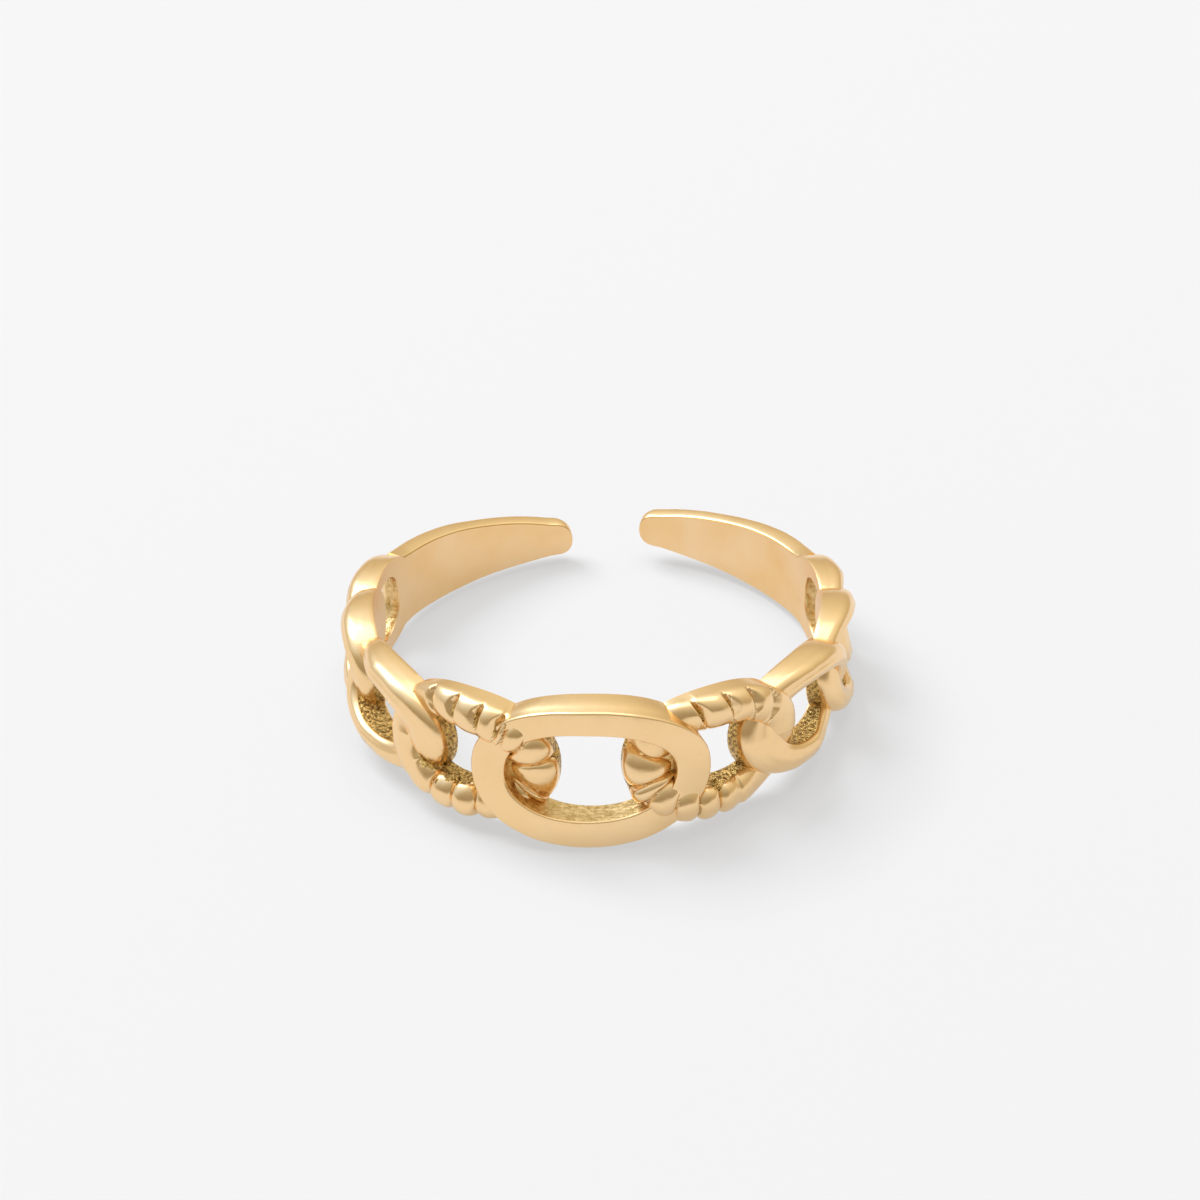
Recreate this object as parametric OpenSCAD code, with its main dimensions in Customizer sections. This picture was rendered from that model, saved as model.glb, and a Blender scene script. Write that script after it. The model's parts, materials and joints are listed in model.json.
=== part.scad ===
// Open chain ring, cast in one piece: nine interlaced links in relief and pierced through,
// with a band end on each side of the gap. It lies as it rests, on its centre link and its band.

/* [Finger] */
// Inner diameter of the ring
bore_d = 17; // [15:0.5:21]
// Gap between the two tips, along the inner face
gap_w = 2.6; // [1:0.1:5]

/* [Links] */
// Thickness of the wall at the links
wall_t = 1.3; // [1.1:0.05:1.8]
// Length of the centre link along the round of the ring
link_len = 9.45; // [8.9:0.05:10]
// Height of the centre link
link_h = 6.05; // [5.4:0.05:6.8]
// Width of a strand along the sides of a link
strand_w = 1.15; // [0.9:0.05:1.3]
// Width of a strand round the ends of a link
end_w = 1.4; // [1.1:0.05:1.6]
// How far a strand dips where another link crosses over it
dip = 0.38; // [0.2:0.02:0.5]
// How far a strand rises where it crosses over another link
rise = 0.12; // [0:0.02:0.25]
// Fall of a smooth strand's outer face from its middle to its edges
edge_fall = 0.3; // [0.15:0.01:0.45]

/* [Rope links] */
// Fall of a rope strand's round outer face from its middle to its edges
rope_fall = 0.6; // [0.3:0.05:0.8]
// Length of one rib along the strand
rib_pitch = 1.05; // [0.8:0.05:1.4]
// Depth of the grooves between the ribs
rib_depth = 0.14; // [0.05:0.01:0.22]

/* [Band ends] */
// Height of the band beside the last link
band_h = 3.05; // [2.4:0.05:3.4]
// Thickness of the band at its tips
tip_t = 0.75; // [0.6:0.05:1]

/* [Hidden] */

bore_r = bore_d / 2;
outer_r = bore_r + wall_t;
// How far the blanks reach inside the bore before it is cut, deeper from link to link
inside = 0.4;
inside_step = 0.15;

// Links from the middle outwards, for one side; a half turn about the middle gives the other.
// middle and length are shares of link_len, height of link_h, thick of wall_t, strand of
// strand_w, and near and far of end_w: near is the width of the end that points to the middle
// of the ring, far that of the other. near_wave and far_wave are how much of the rise and dip
// these ends have, and drop is the further fall of the near end, a share of dip. fall is a
// share of edge_fall, or of rope_fall on a ribbed link, and full is how square the face is.
LINK_COLUMNS = [
    "middle", "length", "height", "thick", "strand", "near", "far",
    "near_wave", "far_wave", "drop", "fall", "full", "ribbed"
];
LINKS = [
    [0,     1,     1,     1,    1,    1,    1,    0.35, 0.35, 0,   0.5, 3.6, 0],
    [0.553, 0.836, 0.87,  0.97, 1.25, 1.47, 0.82, 0.7,  1,    0.3, 1,   2,   1],
    [1.065, 0.82,  0.707, 0.96, 0.83, 1.5,  0.86, 0.4,  1,    0.3, 1,   2.6, 0],
    [1.575, 0.67,  0.667, 0.92, 0.71, 1.02, 1.02, 0.4,  0.8,  0.3, 1,   2.8, 0],
    [1.915, 0.61,  0.627, 0.88, 0.56, 1.05, 1.03, 0.4,  0,    0.3, 1,   2.8, 0]
];
// Web that closes the small gap between the centre link's end and the rope that passes
// through it: its middle as a share of link_len, its radius as a share of link_h and its
// top as a share of wall_t
web_middle = 0.34;
web_radius = 0.22;
web_top = 0.5;

// Sections of the band from inside the last link to the tip.
// along is a share of the band's length, height of band_h, thick runs from wall_t at 1
// to tip_t at 0.
BAND_COLUMNS = ["along", "height", "thick"];
BAND = [
    [0,     0.92,  0.7],
    [0.06,  0.96,  0.6],
    [0.15,  0.95,  0.45],
    [0.25,  0.91,  0.3],
    [0.34,  0.88,  0.2],
    [0.43,  0.84,  0.1],
    [0.52,  0.78,  0.05],
    [0.61,  0.72,  0],
    [0.7,   0.66,  0],
    [0.8,   0.575, 0],
    [0.89,  0.48,  0],
    [0.945, 0.4,   -0.05],
    [0.975, 0.3,   -0.15],
    [1,     0.1,   -0.3]
];
// Where the band starts, a share of link_len from the middle of the ring
band_start = 2.12;

// Fullness of a link's outline: 2 is an ellipse, more is squarer
link_fullness = 2.2;
// Fullness of the band's outer face
band_fullness = 2.8;
// Half turn angles of the points across a strand's outer face
FACE_ANGLES = [0, 30, 60, 90, 120, 150, 180];
// Points in one section: the face and two points inside the bore
section_points = len(FACE_ANGLES) + 2;
// Sides of the bore and of the web, both drawn as prisms
bore_sides = 180;
web_sides = 48;
// Sections round a smooth link and sections to a rib
smooth_sections = 44;
rib_sections = 4;

function col(columns, name) = search([name], columns)[0];
function link(k, name) = LINKS[k][col(LINK_COLUMNS, name)];
function band(k, name) = BAND[k][col(BAND_COLUMNS, name)];

// A power that keeps the sign, for full ovals
function full(c, fullness) = sign(c) * pow(abs(c), 2 / fullness);

// A place on the ring from the distance along its outer round, the height and the radius
function place(along, up, r) =
    let (turn = along / outer_r * 180 / PI)
    [r * sin(turn), -r * cos(turn), up];

// Outlines of link k on the unrolled wall: its outer edge at share 0, its opening at share 1
function outline(k, a, share) =
    let (
        near = end_w * link(k, "near"),
        far = end_w * link(k, "far"),
        half_length = link(k, "length") * link_len / 2 - share * (near + far) / 2,
        half_height = link(k, "height") * link_h / 2 - share * strand_w * link(k, "strand"),
        middle = link(k, "middle") * link_len + share * (near - far) / 2
    )
    [
        middle + half_length * full(cos(a), link_fullness),
        half_height * full(sin(a), link_fullness)
    ];

// Angles of sections at even steps along the outer edge
trace_steps = 180;
function trace(k, i) = outline(k, i * 360 / trace_steps, 0);
function trace_lengths(k) = [
    for (i = 0, s = 0; i <= trace_steps; s = s + norm(trace(k, i + 1) - trace(k, i)), i = i + 1) s
];
function even_angles(k, count) =
    let (
        lengths = trace_lengths(k),
        table = [for (i = [0:trace_steps]) [lengths[i], i * 360 / trace_steps]]
    )
    [for (j = [0:count - 1]) lookup(j / count * lengths[trace_steps], table)];

// An even number of ribs, so that a groove lies at each end of the link
function rib_count(k) = 2 * round(trace_lengths(k)[trace_steps] / rib_pitch / 2);
function section_count(k) =
    link(k, "ribbed") == 1 ? rib_count(k) * rib_sections : smooth_sections;

// Groove at a section: 1 between two ribs, 0 on the crest of a rib
function groove(k, j) =
    link(k, "ribbed") == 1
        ? 1 - sqrt(1 - pow(2 * (j % rib_sections) / rib_sections - 1, 2))
        : 0;

// Radius of the strand's crest: up at two crossings, down at the other two
function crest(k, a) =
    let (
        wave = rise * max(0, sin(2 * a)) - dip * max(0, -sin(2 * a)),
        end = pow(max(0, -cos(a)), 2)
    )
    bore_r + wall_t * link(k, "thick") + wave * link(k, cos(a) < 0 ? "near_wave" : "far_wave")
    - dip * link(k, "drop") * end;

// One section across the strand of link k, with g of a groove's depth
function link_section(k, a, g) =
    let (
        top = crest(k, a) - g * rib_depth,
        cut = g * rib_depth / strand_w,
        fall = (link(k, "ribbed") == 1 ? rope_fall : edge_fall) * link(k, "fall"),
        fullness = link(k, "full"),
        base = bore_r - inside - inside_step * k
    )
    concat(
        [
            for (t = FACE_ANGLES)
            let (
                share = cut + (1 - 2 * cut) * (1 - full(cos(t), fullness)) / 2,
                at = outline(k, a, share)
            )
            place(at[0], at[1], top - fall * (1 - full(sin(t), fullness)))
        ],
        [
            for (share = [1, 0])
            let (at = outline(k, a, share))
            place(at[0], at[1], base)
        ]
    );

function link_points(k) =
    let (count = section_count(k), angles = even_angles(k, count))
    [for (j = [0:count - 1]) each link_section(k, angles[j], groove(k, j))];

// Two triangles for each side of each stretch between neighbouring sections
function side_faces(sections, closed) = [
    for (j = [0:sections - (closed ? 1 : 2)], i = [0:section_points - 1])
    let (
        a = j * section_points + i,
        b = j * section_points + (i + 1) % section_points,
        c = ((j + 1) % sections) * section_points + (i + 1) % section_points,
        d = ((j + 1) % sections) * section_points + i
    )
    each [[a, b, c], [a, c, d]]
];

// Band: distance along the outer round at its start and at its tip
band_from = band_start * link_len;
tip_turn = 180 - gap_w / bore_d / PI * 180;
band_to = tip_turn * PI / 180 * outer_r;

function band_section(k) =
    let (
        along = band_from + (band_to - band_from) * band(k, "along"),
        thick = tip_t + (wall_t - tip_t) * band(k, "thick"),
        half = band_h / 2 * band(k, "height"),
        fall = min(edge_fall, thick / 2),
        base = bore_r - inside - inside_step * len(LINKS)
    )
    concat(
        [
            for (t = FACE_ANGLES)
            place(along, -half * full(cos(t), band_fullness),
                  bore_r + thick - fall * (1 - full(sin(t), band_fullness)))
        ],
        [place(along, half, base), place(along, -half, base)]
    );

band_points = [for (k = [0:len(BAND) - 1]) each band_section(k)];

// Resting tilt: the ring stands on the centre link's lower inner edge at the front, and on
// whichever point behind the middle meets the rest first
side_points = concat([for (k = [1:len(LINKS) - 1]) each link_points(k)], band_points);
function is_wall(p) = norm([p[0], p[1]]) > bore_r;
function rest_slope(p) = (p[2] + link_h / 2) / (p[1] + bore_r);
rest_tilt = atan(min([for (p = side_points) if (is_wall(p) && p[1] > 0) rest_slope(p)]));

// The tilted ring's reach to the front, to the back and down
function tilted(p) = [
    p[0],
    p[1] * cos(rest_tilt) + p[2] * sin(rest_tilt),
    p[2] * cos(rest_tilt) - p[1] * sin(rest_tilt)
];
wall_points = [for (p = concat(link_points(0), side_points)) if (is_wall(p)) tilted(p)];
front_y = min([for (p = wall_points) p[1]]);
back_y = max([for (p = wall_points) p[1]]);
lift = link_h / 2 * cos(rest_tilt) - bore_r * sin(rest_tilt);

module link_blank(k) {
    polyhedron(points = link_points(k), faces = side_faces(section_count(k), true));
}

module band_blank() {
    last = (len(BAND) - 1) * section_points;
    start_face = [for (i = [section_points - 1:-1:0]) i];
    tip_face = [for (i = [0:section_points - 1]) last + i];
    polyhedron(points = band_points,
               faces = concat(side_faces(len(BAND), false), [start_face, tip_face]));
}

module web_blank() {
    turn = web_middle * link_len / outer_r * 180 / PI;
    rotate([90, 0, turn])
    translate([0, 0, bore_r - inside])
    cylinder(h = inside + web_top * wall_t, r = web_radius * link_h, $fn = web_sides);
}

// The links, the web and the band end on one side of the centre link
module side_blank() {
    for (k = [1:len(LINKS) - 1]) link_blank(k);
    web_blank();
    band_blank();
}

module chain_band() {
    color([0.89, 0.72, 0.47])
    translate([0, -(front_y + back_y) / 2, lift])
    rotate([-rest_tilt, 0, 0])
    difference() {
        union() {
            link_blank(0);
            side_blank();
            rotate([0, 180, 0]) side_blank();
        }
        cylinder(h = 2 * link_h, r = bore_r, center = true, $fn = bore_sides);
    }
}

chain_band();
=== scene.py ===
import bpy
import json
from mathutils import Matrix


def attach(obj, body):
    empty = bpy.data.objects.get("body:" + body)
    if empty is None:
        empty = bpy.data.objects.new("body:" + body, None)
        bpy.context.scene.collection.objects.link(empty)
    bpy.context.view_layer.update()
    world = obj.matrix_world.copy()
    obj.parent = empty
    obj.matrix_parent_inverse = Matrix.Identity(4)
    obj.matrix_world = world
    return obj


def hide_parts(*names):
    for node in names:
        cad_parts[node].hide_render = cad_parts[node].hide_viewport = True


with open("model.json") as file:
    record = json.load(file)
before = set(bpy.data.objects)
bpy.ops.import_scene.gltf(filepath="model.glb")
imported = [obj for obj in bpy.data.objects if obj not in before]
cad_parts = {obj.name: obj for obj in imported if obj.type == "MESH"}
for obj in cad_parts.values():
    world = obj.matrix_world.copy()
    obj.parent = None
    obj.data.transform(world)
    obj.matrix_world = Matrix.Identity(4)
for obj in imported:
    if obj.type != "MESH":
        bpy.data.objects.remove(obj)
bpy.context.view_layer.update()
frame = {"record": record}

import json
import math

import bpy
import numpy as np
from mathutils import Matrix, Vector

# Open chain ring, cast in one piece: one mesh with five gold finishes, the floor, the light and
# the camera. The ring is shaped in mm in a frame of its own, with the bore along Z and the middle
# of the chain at -Y, and is then moved to the frame of the part.
MM = 0.001

# Sizes in mm, as in the part's source
BORE_R = 8.5
GAP_W = 2.6
WALL_T = 1.3
LINK_LEN = 9.45
LINK_H = 6.05
STRAND_W = 1.15
END_W = 1.4
DIP = 0.38
BAND_H = 3.05
TIP_T = 0.75
OUTER_R = BORE_R + WALL_T
# How far a strand rises over another, in mm: more than in the source, for clearer crossings
RISE = 0.2
# Fullness of a link's outline and of the band's face: 2 is an ellipse, more is squarer
LINK_FULLNESS = 2.2
BAND_FULLNESS = 2.6
# How far the blanks reach inside the bore before it is cut, in mm, deeper from link to link
INSIDE = 0.4
INSIDE_STEP = 0.12

# Finishes, in the order of their slots on the mesh
# the last finish is dark gold painted along the band's rims at the bore, as a dark reflection
POLISHED, SATIN, CAST, PITTED, PAINTED_DARK_LINE = range(5)

# Links from the middle outwards, for the +X side. middle and length are shares of LINK_LEN, height
# of LINK_H, thick of WALL_T, strand of STRAND_W, and near and far of END_W: near is the end that
# points to the middle of the ring. near_rise and far_rise are how much a strand rises where it
# crosses over another, as shares of RISE. near_dip and far_dip are how much it dips where it goes
# under, and near_drop and far_drop how much its ends fall, as shares of DIP. cast_from is the
# cosine from which the outer wall of an end is left as cast, and cast_as the finish there and in
# the opening.
LINK_COLUMNS = (
    "middle", "length", "height", "thick", "strand", "near", "far", "near_rise", "far_rise",
    "near_dip", "far_dip", "near_drop", "far_drop", "cast_from", "cast_as", "form",
)
LINK_ROWS = [
    (0,     1,     1,     1,    1,    1,    1,    0.35, 0.35, 0.35, 0.35, 0,   0,   0.85, CAST,   "flat"),
    (0.553, 0.836, 0.87,  0.97, 1.25, 1.47, 1.1,  1.05, 0.3,  0.7,  1,    0.5, 0.3, 0.8,  PITTED, "rope"),
    (1.065, 0.82,  0.707, 0.96, 0.83, 1.5,  0.86, 0.5,  0.8,  0.6,  1,    0.3, 0.3, 0.55, PITTED, "soft"),
    (1.575, 0.67,  0.667, 0.92, 0.71, 1.02, 1.02, 0.6,  0.8,  0.6,  0.8,  0.3, 0.3, 0.8,  PITTED, "soft"),
    (1.915, 0.61,  0.627, 0.88, 0.56, 1.05, 1.03, 0.5,  0,    0.5,  0,    0.3, 0.6, 0.8,  CAST,   "soft"),
]
LINKS = [dict(zip(LINK_COLUMNS, row)) for row in LINK_ROWS]

# Forms of a strand. step is the length of one section in mm and swell how uneven its casting is.
# lean is how far the outer wall leans in on its way up, a share of the width. The other five give
# the corners: radius across at the outer edge and at the opening, as shares of the width, the rise
# of the face's middle above its edges, and the fall of the two corners, in mm.
FORMS = dict(
    flat=dict(step=0.11, swell=1, lean=0.1,
              outer=0.09, inner=0.06, dome=0.03, outer_fall=0.18, inner_fall=0.08),
    soft=dict(step=0.1, swell=1, lean=0.05,
              outer=0.42, inner=0.24, dome=0.06, outer_fall=0.5, inner_fall=0.26),
    rope=dict(step=0.045, swell=2.2, lean=0),
)
# A rope's round face: its fall from the crest to the edges in mm, and the power of its curve
ROPE_FALL = 0.62
ROPE_POWER = 0.95
# Width of a rope strand in mm, which turns the depth of a cut into a share across
ROPE_WIDTH = 1.35

# Points across a strand: round a corner, between the corners, across a rope and up a wall
ARC_STEPS = 7
FACE_STEPS = 6
ROPE_STEPS = 22
WALL_STEPS = 5
# Foot of a strand: its height above the bore and its depth below it, in mm, and how far in it
# turns there, a share across
FOOT_H = 0.05
FOOT_DEPTH = 0.03
FOOT_IN = 0.05

# Cuts in the two rope links, by side: notches in the top strand, then seams round the near end
# and in the bottom strand, as turns in degrees or, at the near end, as heights in mm. lean is how
# far a notch leans along the strand, in mm over the strand's whole width.
CUTS = {
    1: dict(lean=0.6, top=[44.2, 38.8, 32.8, 25.6], near=[1.45, 0.5, -0.85],
            bottom=[13.8, 19.2, 24.6, 30.0, 35.8]),
    -1: dict(lean=0.15, top=[20.6, 25.4, 31.9, 38.8], near=[1.5, 1.05, 0.3, -0.75],
             bottom=[15.5, 21.5, 27.8, 33.8, 39.5, 45.5]),
}
# Notches, in mm: depth, width at the leaf's middle and at its points, and run of the steep side
NOTCH_DEPTH = 0.24
NOTCH_WIDTH = 0.42
NOTCH_POINT = 0.07
NOTCH_STEEP = 0.04
# A notch across the face, in shares from the outer edge to the opening: where it lies on its mark,
# and the stretches over which it gets wider, narrower, deeper, shallower and ends
LEAF = dict(on_mark=0.3, wider=(0.02, 0.34), narrower=(0.42, 0.7),
            deeper=(0, 0.26), shallower=(0.5, 0.72), ends=(0.92, 1))
# How much of its depth a notch loses where it gets shallower
LEAF_LOSS = 0.75
# Depth of a notch from which its floor takes the rough, dark pitted finish: rough cast, and painted shade
# at the bottom of the notch
NOTCH_SHADE_FROM = 0.17
# Hollow of the crest at a notch, in mm: its depth, and its run before the first and after the last
BELLY_DEPTH = 0.05
BELLY_RUN = 0.3
# Shares across over which the hollow starts and ends
BELLY_ACROSS = ((0, 0.3), (0.7, 1))
# Seams, in mm: depth, and run from the first and to the last, outside it and in all
SEAM_DEPTH = 0.22
SEAM_OUTSIDE = 0.15
SEAM_RUNS = (0.65, 0.5)
# A seam is a wide valley with a narrow cut along it: their shares of the depth and their powers
SEAM_VALLEY = (0.6, 2.6)
SEAM_CUT = (0.4, 16)
# How much of its depth a seam loses towards the opening, and over which shares across
SEAM_LOSS = 0.4
SEAM_SHALLOWER = (0.55, 1)
# Share across a rope's lower strand from which it is left as cast
ROPE_CAST = 0.84
# A rope flattens at its far end, where it lies on the next link: how much, and over which cosines
ROPE_FLATTENING = 0.45
ROPE_FLAT_FROM = (0.35, 0.9)
# Heights above the bore in mm over which the cuts run out
CUTS_RUN_OUT = (0.15, 0.6)

# Web that closes the small gap between the centre link's end and the rope that passes through
# it: its middle as a share of LINK_LEN, its radius as a share of LINK_H, its top as a share of
# WALL_T, and how far it reaches inside the bore, in mm
WEB_MIDDLE = 0.34
WEB_RADIUS = 0.22
WEB_TOP = 0.5
WEB_INSIDE = 0.9
WEB_SIDES = 40
BORE_SIDES = 360
# Half the height of the prism that cuts the bore, in mm
BORE_REACH = 5.0

# Sections of the band from inside the last link to the start of its tip. along is a share of the
# band's length, height of BAND_H, and thick runs from TIP_T at 0 to WALL_T at 1.
BAND = [
    # along, height, thick
    (0,    1.0,   0.24),
    (0.03, 0.96,  0.26),
    (0.07, 0.94,  0.27),
    (0.15, 0.93,  0.28),
    (0.25, 0.91,  0.26),
    (0.34, 0.88,  0.2),
    (0.43, 0.84,  0.1),
    (0.52, 0.78,  0.05),
    (0.61, 0.72,  0),
    (0.7,  0.66,  0),
    (0.8,  0.575, 0),
    (0.89, 0.48,  0),
]
# Where the band starts, a share of LINK_LEN from the middle of the ring
BAND_START = 2.12
BAND_STEP = 0.12
BAND_FACE_STEPS = 26
# Fall of the band's face to its edges, and thinning of its tip, in mm
BAND_FALL = 0.32
TIP_THINNING = 0.28
# Tip, in shares of the band's length: where it gets thinner, its taper for each share of length,
# and the stretch over which it is rounded off
TIP_THINS = (0.9, 1.0)
TIP_TAPER = 0.6
TIP_FROM, TIP_LENGTH = 0.93, 0.07
# Least height of the tip, a share of BAND_H
TIP_LEAST = 0.02
# Share of the length up to which the height is smoothed, and over how many sections of the mesh
SMOOTH_TO = 0.86
SMOOTH_OVER = 9
# Power that brings the sections closer together towards the tip
TIP_CLOSER = 1.6
# How far the rims of the band draw in at the bore, in mm: the upper one is rounded more
RIM_INSETS = {1: 0.12, -1: 0.04}
# Points of a rim: the share of the inset there and the height above the bore in mm
RIM_POINTS = [(1, -0.03), (1 / 2, 0.03), (1 / 5, 0.13)]

# How far the two halves of the ring stand above its plane, in mm, by turn in degrees
HALF_LIFTS = {
    -1: dict(turn=[0, 40, 75, 115, 140, 180], lift=[0, 0.04, 0.2, 0.2, 0.05, -0.37]),
    1: dict(turn=[0, 40, 75, 115, 150, 180], lift=[0, -0.05, -0.05, 0.0, 0.04, 0.14]),
}
# Steps of a half turn at which the lifts are worked out, and over how many they are smoothed
LIFT_STEPS = 360
LIFT_WINDOW = 41
# Unevenness of the cast surface: size of the bumps and their height in mm, and seed
UNEVEN = [(1.6, 0.010, 11), (0.7, 0.004, 12)]
# Raggedness of the cast edge along a rope: size in mm, share across, and seed
RAGGED = (0.5, 0.07, 21)
# Number of waves in one ripple, and the share that brings their sum to about -1 to 1
RIPPLE_WAVES = 24
RIPPLE_GAIN = 0.6
# Angle from which an edge is shaded as sharp, and how near a point on the bore lies to it in mm
SHARP_ANGLE = math.radians(34)
ON_BORE = 0.002

# Angles round an outline at which it is measured, four to a degree
FINE = np.linspace(0, 2 * math.pi, 4 * 360 + 1)


# Small functions
def full(c, fullness):
    """A power that keeps the sign, for full ovals."""
    return np.sign(c) * np.abs(c) ** (2 / fullness)


def smooth(x, low, high):
    """0 below low, 1 above high, and a smooth step between them."""
    t = np.clip((x - low) / (high - low), 0, 1)
    return t * t * (3 - 2 * t)


def within(x, rise, fall):
    """1 between two stretches, with a smooth rise over the first and a smooth fall over the last."""
    return smooth(x, *rise) * (1 - smooth(x, *fall))


def between(marks, at):
    """-1 to 1 from each mark to the next."""
    i = np.clip(np.searchsorted(marks, at) - 1, 0, len(marks) - 2)
    half = (marks[i + 1] - marks[i]) / 2
    return np.clip((at - marks[i] - half) / half, -1, 1)


def lengths(x, z):
    """Lengths along a line from its first point."""
    return np.concatenate([[0], np.cumsum(np.hypot(np.diff(x), np.diff(z)))])


def place(along, up, r):
    """Points on the ring from the distance along its outer round, the height and the radius."""
    turn = along / OUTER_R
    return np.stack([r * np.sin(turn), -r * np.cos(turn), up], -1)


def ripple(p, scale, seed):
    """Smooth seeded noise of about -1 to 1, with bumps of about that scale in mm."""
    rng = np.random.default_rng(seed)
    waves = rng.normal(size=(RIPPLE_WAVES, 3))
    pace = 2 * math.pi / scale * rng.uniform(0.6, 1.4, RIPPLE_WAVES)
    waves *= (pace / np.linalg.norm(waves, axis=1))[:, None]
    phases = rng.uniform(0, 2 * math.pi, RIPPLE_WAVES)
    total = np.zeros(p.shape[:-1])
    for wave, phase in zip(waves, phases):
        total += np.sin(p @ wave + phase)
    return total / math.sqrt(RIPPLE_WAVES / 2) * RIPPLE_GAIN


# Outline and crest of a link
def outline(link, a, share):
    """Points on the unrolled wall round a link: its outer edge at share 0, its opening at share 1."""
    near, far = END_W * link["near"], END_W * link["far"]
    half_length = link["length"] * LINK_LEN / 2 - share * (near + far) / 2
    half_height = link["height"] * LINK_H / 2 - share * STRAND_W * link["strand"]
    middle = link["middle"] * LINK_LEN + share * (near - far) / 2
    x = middle + half_length * full(np.cos(a), LINK_FULLNESS)
    return x, half_height * full(np.sin(a), LINK_FULLNESS)


def crest(link, a):
    """Radius of a strand's crest: up at two crossings, down at the other two."""
    near = np.cos(a) < 0
    wave = RISE * np.maximum(0, np.sin(2 * a)) * np.where(near, link["near_rise"], link["far_rise"])
    wave = wave - DIP * np.maximum(0, -np.sin(2 * a)) * np.where(near, link["near_dip"], link["far_dip"])
    drop = np.where(near, link["near_drop"], link["far_drop"]) * np.cos(a) ** 2
    return BORE_R + WALL_T * link["thick"] + wave - DIP * drop


def rope_profile():
    """Points across a rope strand, from its outer edge to its opening: share across and fall."""
    turns = [math.pi * i / ROPE_STEPS for i in range(ROPE_STEPS + 1)]
    return [((1 - math.cos(t)) / 2, ROPE_FALL * (1 - math.sin(t) ** ROPE_POWER)) for t in turns]


def smooth_profile(form):
    """Points across a smooth strand: a round corner, a slightly crowned face and a round corner."""
    outer, inner, dome = form["outer"], form["inner"], form["dome"]
    points = []
    for i in range(ARC_STEPS):
        t = math.pi / 2 * i / (ARC_STEPS - 1)
        points.append((outer * (1 - math.cos(t)), dome + form["outer_fall"] * (1 - math.sin(t))))
    for i in range(1, FACE_STEPS):
        points.append((outer + (1 - outer - inner) * i / FACE_STEPS, dome * (2 * i / FACE_STEPS - 1) ** 2))
    for i in range(ARC_STEPS):
        t = math.pi / 2 * (1 - i / (ARC_STEPS - 1))
        points.append((1 - inner * (1 - math.cos(t)), dome + form["inner_fall"] * (1 - math.sin(t))))
    return points


# Notches and seams of the rope links
def centre_line(link):
    """Middle of a strand at the fine angles, its direction and its length from the first."""
    x, z = outline(link, FINE, 0.5)
    way_x, way_z = np.gradient(x), np.gradient(z)
    size = np.hypot(way_x, way_z)
    return x, z, way_x / size, way_z / size, lengths(x, z)


def cut_lengths(link, side):
    """Lengths along the middle of a rope link's strand at which its notches and its seams lie."""
    x, z, _, _, length = centre_line(link)
    z = z * side
    # parts of the strand, by height in mm or by cosine
    picks = dict(top=z > 0.3, near=np.cos(FINE) < -0.45, bottom=z < -0.3)
    found = {kind: [] for kind in picks}
    for kind, pick in picks.items():
        for value in CUTS[side][kind]:
            miss = np.abs(z - value if kind == "near" else x - math.radians(value) * OUTER_R)
            found[kind].append(length[int(np.argmin(np.where(pick, miss, np.inf)))])
    notches = np.array(found["top"])
    last = notches.max() if side > 0 else notches.min()
    return notches, np.sort(np.array([last] + found["near"] + found["bottom"]))


def leaf_depth(notches, at, q, side):
    """Depth of the leaf-shaped notches at lengths along the middle and a share q across the face."""
    past = -side * (at[:, None] - notches[None, :]) - CUTS[side]["lean"] * (q - LEAF["on_mark"])
    width = NOTCH_POINT + (NOTCH_WIDTH - NOTCH_POINT) * within(q, LEAF["wider"], LEAF["narrower"])
    gentle = np.clip(1 - np.maximum(past, 0) / width, 0, 1) ** 1.2
    steep = np.exp(np.minimum(past, 0) / NOTCH_STEEP)
    leaf = np.where(past > 0, gentle, steep).max(axis=1)
    leaf *= within(q, LEAF["deeper"], LEAF["ends"]) * (1 - LEAF_LOSS * smooth(q, *LEAF["shallower"]))
    return NOTCH_DEPTH * leaf


def belly_depth(notches, at, q):
    """Hollow of the crest towards each notch, so that the rope swells between two of them."""
    marks = np.sort(notches)
    belly = BELLY_DEPTH * between(marks, at) ** 2 * within(q, *BELLY_ACROSS)
    return belly * within(at, (marks[0] - BELLY_RUN, marks[0]), (marks[-1], marks[-1] + BELLY_RUN))


def seam_depth(beads, at, q):
    """Depth of the seams between the beads of the rope, a little less towards the opening."""
    t = np.abs(between(beads, at))
    seam = sum(share * t ** power for share, power in (SEAM_VALLEY, SEAM_CUT))
    seam *= 1 - SEAM_LOSS * smooth(q, *SEAM_SHALLOWER)
    start, end = beads[0] - SEAM_OUTSIDE, beads[-1] + SEAM_OUTSIDE
    return SEAM_DEPTH * seam * within(at, (start, start + SEAM_RUNS[0]), (end - SEAM_RUNS[1], end))


def rope_cutter(link, side, a):
    """A function that gives the depths of notches and seams, in mm, on one row of a rope's points."""
    notches, beads = cut_lengths(link, side)
    mid_x, mid_z, way_x, way_z, length = [np.interp(a, FINE, column) for column in centre_line(link)]

    def cut(share, q):
        x, z = outline(link, a, share)
        at = length + (x - mid_x) * way_x + (z - mid_z) * way_z
        seams = np.maximum(seam_depth(beads, at, q), belly_depth(notches, at, q))
        return leaf_depth(notches, at, q, side), seams

    return cut


def ragged_edge(link, side, a, share, q):
    """Where a rope's face is left as cast, along the opening of its lower strand."""
    x, z = outline(link, a, share)
    size, reach, seed = RAGGED
    rough = ripple(np.stack([x, z, 0 * x], 1), size, seed) * reach
    return (q + rough > ROPE_CAST) & (side * np.sin(a) < 0)


# Sections of a link and of the band
def even_angles(link, step):
    """Angles of sections at even steps in mm along a link's outer edge."""
    length = lengths(*outline(link, FINE, 0))
    count = int(round(length[-1] / step))
    return np.interp(np.arange(count) / count * length[-1], length, FINE)


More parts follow.
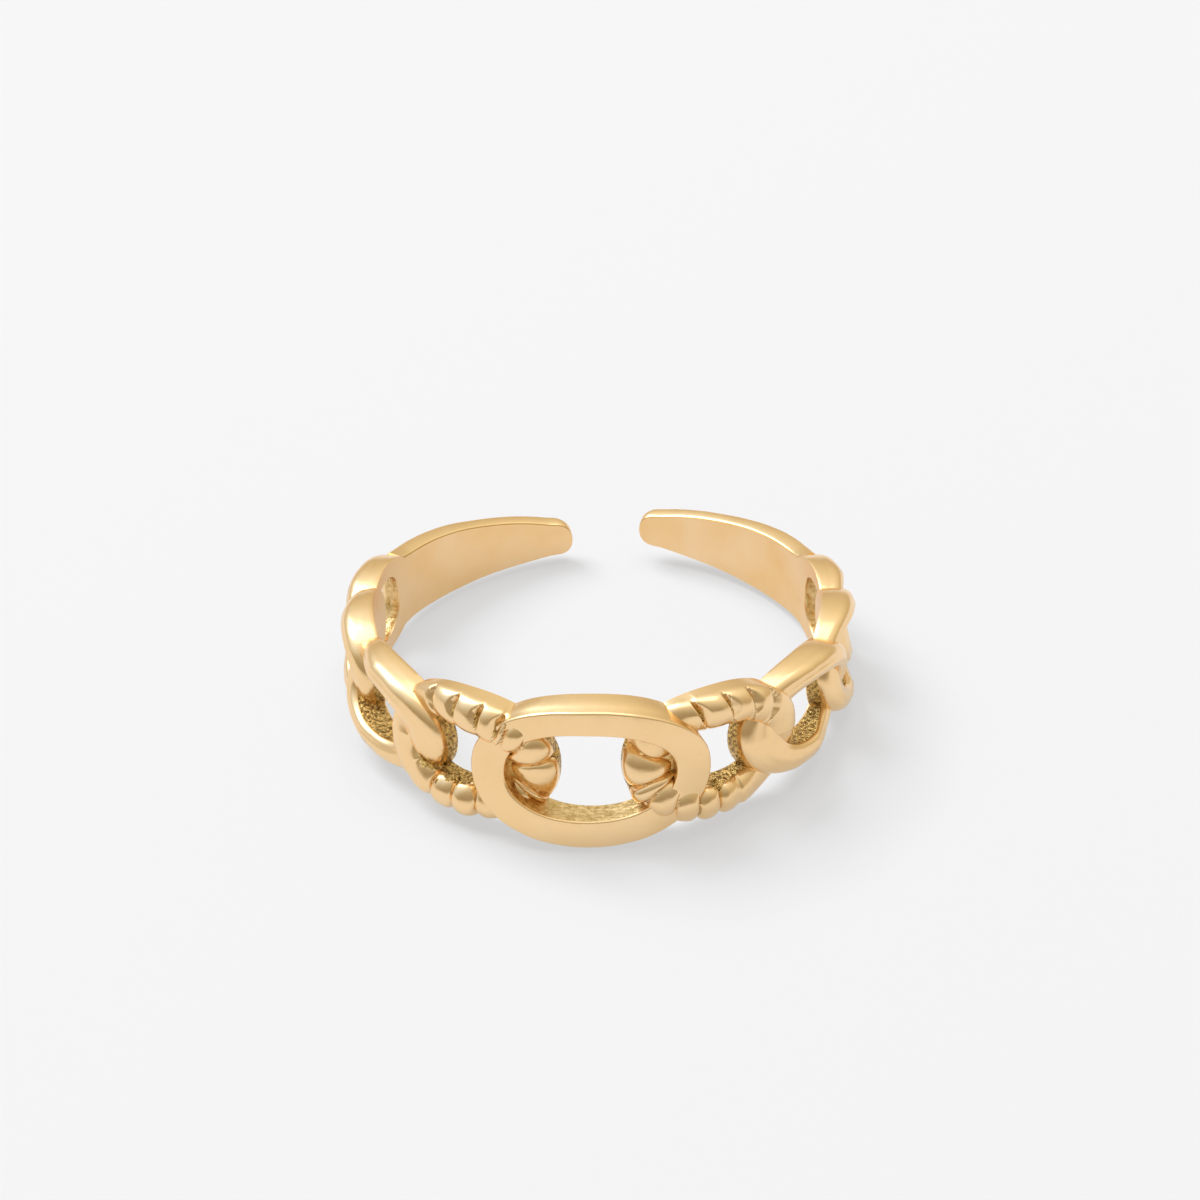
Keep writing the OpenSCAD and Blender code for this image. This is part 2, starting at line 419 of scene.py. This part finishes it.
def face_squash(link, a, top, edge_fall):
    """How much of its fall a face keeps: less where the strand dives under another."""
    squash = np.clip((top - BORE_R - 2 * FOOT_H) / (1.25 * edge_fall), 0.05, 1)
    if link["form"] == "rope":
        squash = squash * (1 - ROPE_FLATTENING * smooth(np.cos(a), *ROPE_FLAT_FROM))
    return squash


def link_mesh(k, side):
    """Points and finishes of link k: each section goes up its outer wall, over its face and down."""
    link = LINKS[k]
    form = FORMS[link["form"]]
    rope = link["form"] == "rope"
    a = even_angles(link, form["step"])
    face = rope_profile() if rope else smooth_profile(form)
    top = crest(link, a)
    squash = face_squash(link, a, top, face[0][1])
    # the centre link leans in only along its upper strand
    lean = form["lean"] * (smooth(np.sin(a), 0.1, 0.8) if k == 0 else np.ones(len(a)))
    cut = rope_cutter(link, side, a) if rope else None
    scallop = cut(0, 0)[1] / ROPE_WIDTH if rope else 0
    rows, finishes, cast_and_shade = [], [], {}

    def add(share, r, finish):
        rows.append(place(*outline(link, a, share), r))
        finishes.append(finish)

    foot = BORE_R + FOOT_H
    below = BORE_R - FOOT_DEPTH
    base = BORE_R - INSIDE - INSIDE_STEP * k
    add(FOOT_IN, below, SATIN)
    for i in range(WALL_STEPS):
        h = i / WALL_STEPS
        add(lean * h ** 3 + scallop * h, foot + (top - face[0][1] * squash - foot) * h, POLISHED)
    for j, (across, fall) in enumerate(face):
        q = j / (len(face) - 1)
        r = top - fall * squash
        share = lean + (1 - lean) * across
        if rope:
            notch, seam = cut(share, q)
            # a deep notch's floor takes the dark pitted finish as painted shade, and the lower strand's
            # ragged edge is left as cast
            cast_and_shade[len(rows)] = (notch > NOTCH_SHADE_FROM) | ragged_edge(link, side, a, share, q)
            depth = np.maximum(notch, seam) * smooth(r - BORE_R, *CUTS_RUN_OUT)
            r = r - depth
            share = share + depth / ROPE_WIDTH * math.cos(math.pi * across)
        add(share, r, CAST if j == len(face) - 1 else POLISHED)
    for i in range(1, WALL_STEPS + 1):
        h = 1 - i / (WALL_STEPS + 1)
        add(1, foot + (top - face[-1][1] * squash - foot) * h, CAST)
    add(1, foot, SATIN)
    add(1 - FOOT_IN, below, SATIN)
    add(1 - FOOT_IN, base, SATIN)
    add(FOOT_IN, base, SATIN)
    return np.stack(rows, 1), link_finishes(k, a, finishes, cast_and_shade)


def link_finishes(k, a, finishes, cast_and_shade):
    """Finish of each face of link k: that of its row, or the cast finish at the ends and at the marks,
    which in the notch floors is painted shade.
    """
    link = LINKS[k]
    finishes = np.tile(finishes, (len(a), 1))
    # both ends of the centre link are left as cast, and only the near end of any other
    end = np.abs(np.cos(a)) if k == 0 else -np.cos(a)
    finishes[end > link["cast_from"], 1:WALL_STEPS + 1] = CAST
    for row, mark in cast_and_shade.items():
        finishes[mark, row] = CAST
    finishes[finishes == CAST] = link["cast_as"]
    return finishes


def band_height(t):
    """Height of the band at shares t of its length, as a share of BAND_H, down to a round tip."""
    along, height, _ = np.array(BAND, float).T
    tip = height[-1] - (t - along[-1]) * TIP_TAPER
    taper = np.where(t > along[-1], tip, np.interp(t, along, height))
    rounding = 1 - ((t - TIP_FROM) / TIP_LENGTH).clip(0, 1) ** 2.5
    sharp = np.maximum(taper * rounding ** 0.4, TIP_LEAST)
    kernel = np.hanning(SMOOTH_OVER)
    soft = np.convolve(np.pad(sharp, SMOOTH_OVER // 2, "edge"), kernel / kernel.sum(), "valid")
    return np.where(t < SMOOTH_TO, soft, sharp)


def band_thickness(t):
    """Thickness of the band in mm at shares t of its length."""
    along, _, thick = np.array(BAND, float).T
    thick = TIP_T + (WALL_T - TIP_T) * np.interp(t, along, thick)
    return thick - TIP_THINNING * smooth(t, *TIP_THINS) ** 2


def band_mesh(side):
    """Points and finishes of a band end, in sections from inside the last link to its tip."""
    start = BAND_START * LINK_LEN
    end = (math.pi - GAP_W / 2 / BORE_R) * OUTER_R
    count = int(round((end - start) / BAND_STEP))
    t = 1 - (1 - np.linspace(0, 1, count + 1)) ** TIP_CLOSER
    along = start + (end - start) * t
    half = BAND_H / 2 * band_height(t)
    thick = band_thickness(t)
    fall = np.minimum(BAND_FALL, thick / 2)
    base = BORE_R - INSIDE - INSIDE_STEP * len(LINKS)
    rows, finishes = [], []

    def add(up, r, finish):
        rows.append(place(along, up, r))
        finishes.append(finish)

    # each rim is rounded down to the bore, where a thin strip of dark gold paints the dark reflection of
    # its sharp edge
    rims = {}
    for way in (-1, 1):
        inset = np.minimum(RIM_INSETS[way * side], half * 0.4)
        rims[way] = [(inset * share, out) for share, out in RIM_POINTS]
    for (inset, out), finish in zip(rims[-1], (PAINTED_DARK_LINE, POLISHED, POLISHED)):
        add(inset - half, BORE_R + out, finish)
    for i in range(BAND_FACE_STEPS + 1):
        a = math.pi * i / BAND_FACE_STEPS
        r = BORE_R + thick - fall * (1 - full(abs(math.sin(a)), BAND_FULLNESS))
        add(-half * full(math.cos(a), BAND_FULLNESS), r, POLISHED)
    for (inset, out), finish in zip(rims[1][::-1], (POLISHED, PAINTED_DARK_LINE, SATIN)):
        add(half - inset, BORE_R + out, finish)
    add(half - rims[1][0][0], base, SATIN)
    add(rims[-1][0][0] - half, base, SATIN)
    return np.stack(rows, 1), np.tile(finishes, (count + 1, 1))


# Materials
def map_range(tree, value, low, high, to_low=0.0, to_high=1.0, interpolation="LINEAR"):
    """Socket with value mapped from one range to another."""
    node = tree.nodes.new("ShaderNodeMapRange")
    node.interpolation_type = interpolation
    node.inputs["From Min"].default_value = low
    node.inputs["From Max"].default_value = high
    node.inputs["To Min"].default_value = to_low
    node.inputs["To Max"].default_value = to_high
    tree.links.new(value, node.inputs["Value"])
    return node.outputs["Result"]


# Scale of the soft clouds of colour on smooth gold, and the height of bump in m from which the
# gold is coloured by its grain instead
CLOUD_SCALE = 420
GRAINY_BUMP = 0.00001
# Range in which most of a noise lies
NOISE_RANGE = (0.3, 0.7)


def gold_material(name, colour, dark, rough, spread, bump, grain, softness=0.2):
    """Gold of two colours, softly blended. Its roughness varies by spread, with bumps in m."""
    mat = bpy.data.materials.new(name)
    mat.use_nodes = True
    tree = mat.node_tree
    shader = tree.nodes["Principled BSDF"]
    shader.inputs["Metallic"].default_value = 1.0
    coord = tree.nodes.new("ShaderNodeTexCoord")

    def noise(scale, detail, roughness):
        node = tree.nodes.new("ShaderNodeTexNoise")
        node.inputs["Scale"].default_value = scale
        node.inputs["Detail"].default_value = detail
        node.inputs["Roughness"].default_value = roughness
        tree.links.new(coord.outputs["Object"], node.inputs["Vector"])
        return node.outputs["Fac"]

    fine = noise(grain, 4, 0.6)
    cloud = fine if bump > GRAINY_BUMP else noise(CLOUD_SCALE, 3, 0.5)
    ramp = tree.nodes.new("ShaderNodeValToRGB")
    for element, tone, way in zip(ramp.color_ramp.elements, (dark, colour), (-1, 1)):
        element.position = 0.5 + way * softness
        element.color = (*tone, 1)
    tree.links.new(cloud, ramp.inputs["Fac"])
    tree.links.new(ramp.outputs["Color"], shader.inputs["Base Color"])
    roughness = map_range(tree, fine, *NOISE_RANGE, rough - spread, rough + spread)
    tree.links.new(roughness, shader.inputs["Roughness"])
    relief = tree.nodes.new("ShaderNodeBump")
    relief.inputs["Strength"].default_value = 1.0
    relief.inputs["Distance"].default_value = bump
    tree.links.new(fine, relief.inputs["Height"])
    tree.links.new(relief.outputs["Normal"], shader.inputs["Normal"])
    return mat


FINISHES = [
    gold_material("gold_polished", (0.96, 0.68, 0.37), (0.94, 0.65, 0.33), 0.24, 0.04, 0.0000006, 2500),
    gold_material("gold_satin", (0.95, 0.67, 0.38), (0.91, 0.58, 0.25), 0.34, 0.03, 0.000001, 1500),
    gold_material("gold_cast", (0.94, 0.7, 0.36), (0.6, 0.4, 0.15), 0.3, 0.1, 0.00004, 5000, 0.14),
    # rough cast grain with a near-black tone, which in the notch floors also paints their shade
    gold_material("gold_pitted", (1.0, 0.7, 0.26), (0.18, 0.1, 0.025), 0.24, 0.1, 0.00012, 7500, 0.13),
    # dark gold for the band's rims: a painted dark reflection along their edge at the bore
    gold_material("gold_painted_dark_line", (0.6, 0.36, 0.12), (0.45, 0.25, 0.07), 0.4, 0.05, 0.000001, 1500),
]


def paper_material():
    """Plain matt white paper."""
    mat = bpy.data.materials.new("paper")
    mat.use_nodes = True
    shader = mat.node_tree.nodes["Principled BSDF"]
    shader.inputs["Base Color"].default_value = (0.905, 0.905, 0.905, 1)
    shader.inputs["Roughness"].default_value = 0.9
    return mat


# Objects
def add_object(name, data):
    """Object with that data, in the scene."""
    ob = bpy.data.objects.new(name, data)
    bpy.context.scene.collection.objects.link(ob)
    return ob


def gold_object(name, points, faces, finishes):
    """Object of points in mm, with a finish for each face."""
    mesh = bpy.data.meshes.new(name)
    mesh.from_pydata(points.tolist(), [], faces)
    mesh.polygons.foreach_set("material_index", finishes)
    for mat in FINISHES:
        mesh.materials.append(mat)
    mesh.update()
    return add_object(name, mesh)


def uneven(p, swell):
    """The points of a cast surface: those outside the bore move in and out a little."""
    noise = sum(ripple(p, size, seed) * height for size, height, seed in UNEVEN) * swell
    outward = p * (1, 1, 0)
    outward /= np.linalg.norm(outward, axis=-1, keepdims=True)
    outside = np.linalg.norm(p[..., :2], axis=-1) > BORE_R + 0.1
    return p + outward * (noise * outside)[..., None]


def twisted(p):
    """The cast band isn't quite flat: its two halves rise or fall towards their tips."""
    turn = np.degrees(np.arctan2(p[..., 0], -p[..., 1]))
    steps = np.linspace(0, 180, LIFT_STEPS + 1)
    window = np.ones(LIFT_WINDOW) / LIFT_WINDOW
    out = p.copy()
    for side, table in HALF_LIFTS.items():
        lift = np.interp(steps, table["turn"], table["lift"])
        lift = np.convolve(np.pad(lift, LIFT_WINDOW // 2, "edge"), window, "valid")
        out[..., 2] += np.where(turn * side > 0, np.interp(np.abs(turn), steps, lift - lift[0]), 0)
    return out


def sweep_object(name, p, finishes, side, closed=True, swell=1):
    """Object of neighbouring sections, turned over where it is on the -X side."""
    count, points = p.shape[:2]
    p = uneven(p, swell)
    if side < 0:
        p = p * np.array([-1.0, 1.0, -1.0])
    faces, picked = [], []
    for section in range(count if closed else count - 1):
        here, after = section * points, (section + 1) % count * points
        for point in range(points):
            beside = (point + 1) % points
            faces.append((here + point, after + point, after + beside, here + beside))
            picked.append(int(finishes[section, point]))
    if not closed:
        faces.append(tuple(range(points)))
        faces.append(tuple((count - 1) * points + i for i in range(points - 1, -1, -1)))
        picked += [POLISHED, POLISHED]
    return gold_object(name, twisted(p).reshape(-1, 3), faces, picked)


def prism_object(name, radius, sides, ends, axes, finish):
    """Straight prism along the first of three axes, between two distances along it."""
    along, across, up = np.array(axes, float)
    turns = np.linspace(0, 2 * math.pi, sides, endpoint=False)
    x, y = radius * np.cos(turns)[:, None], radius * np.sin(turns)[:, None]
    points = np.concatenate([along * end + x * across + y * up for end in ends])
    faces = [(i, (i + 1) % sides, sides + (i + 1) % sides, sides + i) for i in range(sides)]
    faces += [tuple(range(sides - 1, -1, -1)), tuple(range(sides, 2 * sides))]
    return gold_object(name, points, faces, [finish] * len(faces))


def link_object(k, side):
    swell = FORMS[LINKS[k]["form"]]["swell"]
    return sweep_object(f"link_{k}", *link_mesh(k, side), side, swell=swell)


def band_object(side):
    return sweep_object("band", *band_mesh(side), side, closed=False)


def web_object(side):
    turn = WEB_MIDDLE * LINK_LEN / OUTER_R * side
    axes = [(math.sin(turn), -math.cos(turn), 0), (math.cos(turn), math.sin(turn), 0), (0, 0, 1)]
    ends = (BORE_R - WEB_INSIDE, BORE_R + WEB_TOP * WALL_T)
    return prism_object("web", WEB_RADIUS * LINK_H, WEB_SIDES, ends, axes, CAST)


def bore_object():
    axes = [(0, 0, 1), (1, 0, 0), (0, 1, 0)]
    return prism_object("bore", BORE_R, BORE_SIDES, (-BORE_REACH, BORE_REACH), axes, SATIN)


def boolean(target, other, operation):
    """Joins the other object to the target, or cuts it out, and removes it."""
    modifier = target.modifiers.new("join", "BOOLEAN")
    modifier.operation = operation
    modifier.solver = "MANIFOLD"
    modifier.object = other
    result = target.evaluated_get(bpy.context.evaluated_depsgraph_get())
    mesh = bpy.data.meshes.new_from_object(result)
    target.modifiers.clear()
    old = target.data
    target.data = mesh
    bpy.data.meshes.remove(old)
    bpy.data.objects.remove(other)


def straighten_bore(mesh):
    """The bore's face is a true cylinder, so its normals point straight at the axis."""
    points = np.empty(3 * len(mesh.vertices))
    mesh.vertices.foreach_get("co", points)
    points = points.reshape(-1, 3)
    on_bore = np.abs(np.hypot(points[:, 0], points[:, 1]) - BORE_R) < ON_BORE
    normals = np.array([tuple(corner.vector) for corner in mesh.corner_normals])
    corner_points = np.empty(len(mesh.loops), int)
    mesh.loops.foreach_get("vertex_index", corner_points)
    for face in mesh.polygons:
        corners = np.arange(face.loop_start, face.loop_start + face.loop_total)
        around = corner_points[corners]
        if on_bore[around].all():
            inward = -points[around] * (1, 1, 0)
            normals[corners] = inward / np.linalg.norm(inward, axis=1, keepdims=True)
    mesh.normals_split_custom_set(normals.tolist())


def ring_object(pose):
    """The whole ring, shaped in mm in its own frame and then posed."""
    ring = link_object(0, 1)
    for side in (1, -1):
        for k in range(1, len(LINKS)):
            boolean(ring, link_object(k, side), "UNION")
        boolean(ring, band_object(side), "UNION")
        boolean(ring, web_object(side), "UNION")
    boolean(ring, bore_object(), "DIFFERENCE")
    ring.name = "chain_ring"
    mesh = ring.data
    mesh.polygons.foreach_set("use_smooth", [True] * len(mesh.polygons))
    mesh.set_sharp_from_angle(angle=SHARP_ANGLE)
    straighten_bore(mesh)
    mesh.transform(pose)
    mesh.update()
    # the floor takes no colour from the metal
    ring.visible_diffuse = False
    return ring


def floor_object(half=1.5, below=0.00001):
    """Square of paper, in m, a hair below the ring's lowest point."""
    mesh = bpy.data.meshes.new("floor")
    corners = [(-half, -half, 0), (half, -half, 0), (half, half, 0), (-half, half, 0)]
    mesh.from_pydata(corners, [], [(0, 1, 2, 3)])
    mesh.materials.append(paper_material())
    floor = add_object("floor", mesh)
    floor.location.z = -below
    return floor


# Pose of the ring's own frame in the frame of the part, from its bore mount
mount = frame["record"]["mounts"][0]
axis = Vector(mount["axis"]).normalized()
tilt = math.atan2(axis.y, axis.z)
POSE = Matrix.Translation(Vector(mount["pos_m"])) @ Matrix.Rotation(-tilt, 4, "X") @ Matrix.Scale(MM, 4)

centre = ring_object(POSE)
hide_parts("chain_band")
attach(centre, "root")

floor = floor_object()

# Light: a soft key from the back left and a weaker one from above, in m and W
LIGHT_TARGET = (0, 0, 0.002)
LIGHT_COLOUR = (0.99, 1.0, 1.05)


def area_light(name, at, size, watts):
    """Rectangular light that points at the ring."""
    light = bpy.data.lights.new(name, "AREA")
    light.shape = "RECTANGLE"
    light.size, light.size_y = size
    light.energy = watts
    light.color = LIGHT_COLOUR
    ob = add_object(name, light)
    ob.location = at
    ob.rotation_euler = (Vector(LIGHT_TARGET) - Vector(at)).to_track_quat("-Z", "Y").to_euler()


area_light("key", (-0.75, 0.55, 1.1), (0.8, 0.8), 6.85)
area_light("overhead", (0.0, 0.32, 1.36), (1.1, 0.8), 2.95)

# Room that the metal mirrors: its tones from straight down at 0 to straight up at 1, how dark it
# gets towards the camera and over which directions, and a pale glow round the key light
ROOM_TONES = [
    (0.46, (0.85, 0.84, 0.82)),
    (0.5, (0.6, 0.51, 0.34)),
    (0.6, (0.64, 0.56, 0.4)),
    (0.74, (0.81, 0.77, 0.62)),
    (0.92, (1.06, 1.04, 0.95)),
]
ROOM_FRONT = 0.55
FRONT_RANGE = (-0.9, 0.2)
GLOW_WAY = Vector((-0.85, 0.35, 0.85)).normalized()
GLOW_FROM = 0.55
GLOW_COLOUR = (0.1, 0.26, 0.55)
# Room that lights the floor, neutral
ROOM_DIFFUSE = (0.655, 0.648, 0.638)


def vector_math(tree, operation, first, second):
    """Node that does a sum with vectors, with a socket or a constant as each of its two inputs."""
    node = tree.nodes.new("ShaderNodeVectorMath")
    node.operation = operation
    for value, socket in ((first, node.inputs[0]), (second, node.inputs[1])):
        if isinstance(value, bpy.types.NodeSocket):
            tree.links.new(value, socket)
        else:
            socket.default_value = value
    return node


def room_tones(tree, height):
    """Colour of the room by the height of a direction, from -1 to 1."""
    ramp = tree.nodes.new("ShaderNodeValToRGB")
    elements = ramp.color_ramp.elements
    for at, tone in ROOM_TONES:
        elements.new(at).color = (*tone, 1)
    elements.remove(elements[0])
    elements.remove(elements[-1])
    tree.links.new(map_range(tree, height, -1, 1), ramp.inputs["Fac"])
    return ramp.outputs["Color"]


def studio_world():
    """Warm room for mirrored rays and a neutral one for all others."""
    world = bpy.data.worlds.new("studio")
    world.use_nodes = True
    tree = world.node_tree
    direction = tree.nodes.new("ShaderNodeTexCoord").outputs["Generated"]
    split = tree.nodes.new("ShaderNodeSeparateXYZ")
    tree.links.new(direction, split.inputs["Vector"])
    fade = map_range(tree, split.outputs["Y"], *FRONT_RANGE, ROOM_FRONT, 1.0, "SMOOTHSTEP")
    tones = tree.nodes.new("ShaderNodeVectorMath")
    tones.operation = "SCALE"
    tree.links.new(room_tones(tree, split.outputs["Z"]), tones.inputs[0])
    tree.links.new(fade, tones.inputs["Scale"])
    toward = vector_math(tree, "DOT_PRODUCT", direction, GLOW_WAY).outputs["Value"]
    near_key = map_range(tree, toward, GLOW_FROM, 1.0, interpolation="SMOOTHSTEP")
    glow = vector_math(tree, "MULTIPLY_ADD", GLOW_COLOUR, near_key)
    tree.links.new(tones.outputs["Vector"], glow.inputs[2])
    ray = tree.nodes.new("ShaderNodeLightPath")
    room = tree.nodes.new("ShaderNodeMix")
    room.data_type = "RGBA"
    room.inputs["A"].default_value = (*ROOM_DIFFUSE, 1)
    tree.links.new(ray.outputs["Is Glossy Ray"], room.inputs["Factor"])
    tree.links.new(glow.outputs["Vector"], room.inputs["B"])
    tree.links.new(room.outputs["Result"], tree.nodes["Background"].inputs["Color"])
    return world


bpy.context.scene.world = studio_world()
bpy.context.scene.view_settings.view_transform = "Standard"

# Camera: how far it looks down, its roll and its turn to the ring, where the middle of the bore
# lies in the photo in pixels, the photo's scale, and the distance to the ring in mm
ELEVATION = math.radians(30.8)
ROLL = math.radians(-2.05)
YAW = math.radians(-2.93)
CENTRE_PX = (598.6, 644.5)
IMAGE_PX = 1200
PX_PER_MM = 26.305
DISTANCE = 400.0
SENSOR = 36


def photo_camera(pose):
    """Camera that sees the posed ring as the photo does."""
    right = Vector((math.cos(YAW), -math.sin(YAW), 0))
    ahead = Vector((math.sin(YAW), math.cos(YAW), 0))
    up = Vector((0, 0, 1))
    forward = ahead * math.cos(ELEVATION) - up * math.sin(ELEVATION)
    upward = ahead * math.sin(ELEVATION) + up * math.cos(ELEVATION)
    rolled = right * math.cos(ROLL) + upward * math.sin(ROLL)
    upward = upward * math.cos(ROLL) - right * math.sin(ROLL)
    shift_x, shift_y = [(px - IMAGE_PX / 2) / PX_PER_MM for px in CENTRE_PX]
    view = Matrix((rolled, upward, -forward)).transposed().to_4x4()
    view.translation = -forward * DISTANCE - rolled * shift_x + upward * shift_y
    data = bpy.data.cameras.new("camera")
    data.sensor_width = SENSOR
    data.lens = SENSOR * PX_PER_MM * DISTANCE / IMAGE_PX
    data.clip_start, data.clip_end = 0.01, 10
    camera = add_object("camera", data)
    rotation = (pose.to_3x3() @ view.to_3x3()).to_quaternion()
    camera.matrix_world = Matrix.Translation((pose @ view).translation) @ rotation.to_matrix().to_4x4()
    return camera


bpy.context.scene.camera = photo_camera(POSE)
